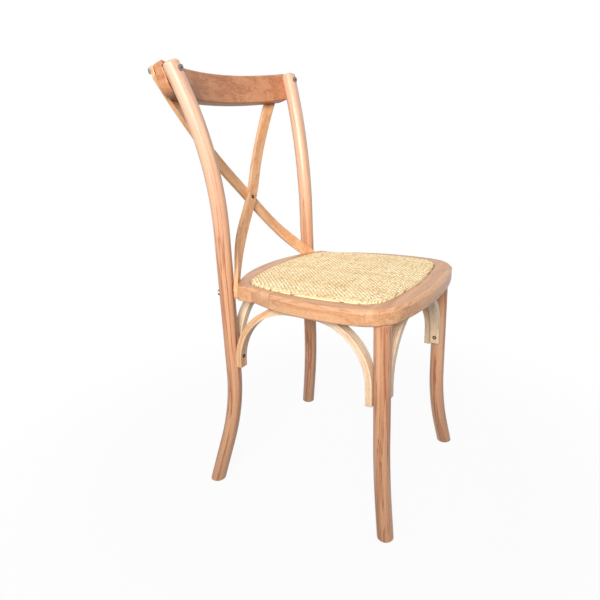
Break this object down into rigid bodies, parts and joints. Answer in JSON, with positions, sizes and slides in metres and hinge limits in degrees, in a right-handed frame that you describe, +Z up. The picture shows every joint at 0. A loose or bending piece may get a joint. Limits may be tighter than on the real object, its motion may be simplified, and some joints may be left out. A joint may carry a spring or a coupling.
{
  "type": "dining chair",
  "caption": "Bentwood dining chair with crossed strips in the back, a bowed crest rail, a woven seat panel and quarter arc braces under the seat.",
  "frame": {"origin": "on the floor under the middle of the chair's bounding box", "axes": "+Z up, -Y the way the seated person looks, +X to the seated person's left"},
  "size_m": [0.437, 0.5184, 0.8833],
  "materials": {
    "post_wood": "clear satin lacquer on orange tan bent wood",
    "crest_wood": "clear satin lacquer on brownish orange wood",
    "strip_wood": "clear satin lacquer on orange wood",
    "seat_wood": "clear satin lacquer on peach tan wood",
    "brace_wood": "clear satin lacquer on pale wood",
    "board_wood": "raw plywood",
    "woven_cane": "woven natural cane",
    "bright_steel": "zinc plated",
    "dark_steel": "blackened"
  },
  "bodies": {
    "root": {"rear_leg_left": "post_wood", "rear_leg_right": "post_wood", "front_leg_left": "post_wood", "front_leg_right": "post_wood", "crest_rail": "crest_wood", "cross_strip_front": "strip_wood", "cross_strip_back": "strip_wood", "seat_front_rail": "seat_wood", "seat_side_rail_left": "seat_wood", "seat_side_rail_right": "seat_wood", "seat_rear_rail": "seat_wood", "seat_board": "board_wood", "woven_seat_panel": "woven_cane", "side_front_brace_left": "brace_wood", "side_front_brace_right": "brace_wood", "side_rear_brace_left": "brace_wood", "side_rear_brace_right": "brace_wood", "front_brace_left": "brace_wood", "front_brace_right": "brace_wood", "rear_brace_left": "brace_wood", "rear_brace_right": "brace_wood", "crest_bolts": "dark_steel", "crest_cap_nuts": "bright_steel", "seat_bolts": "dark_steel", "seat_square_nuts": "bright_steel", "rail_tenons": "brace_wood"}
  },
  "joints": []
}
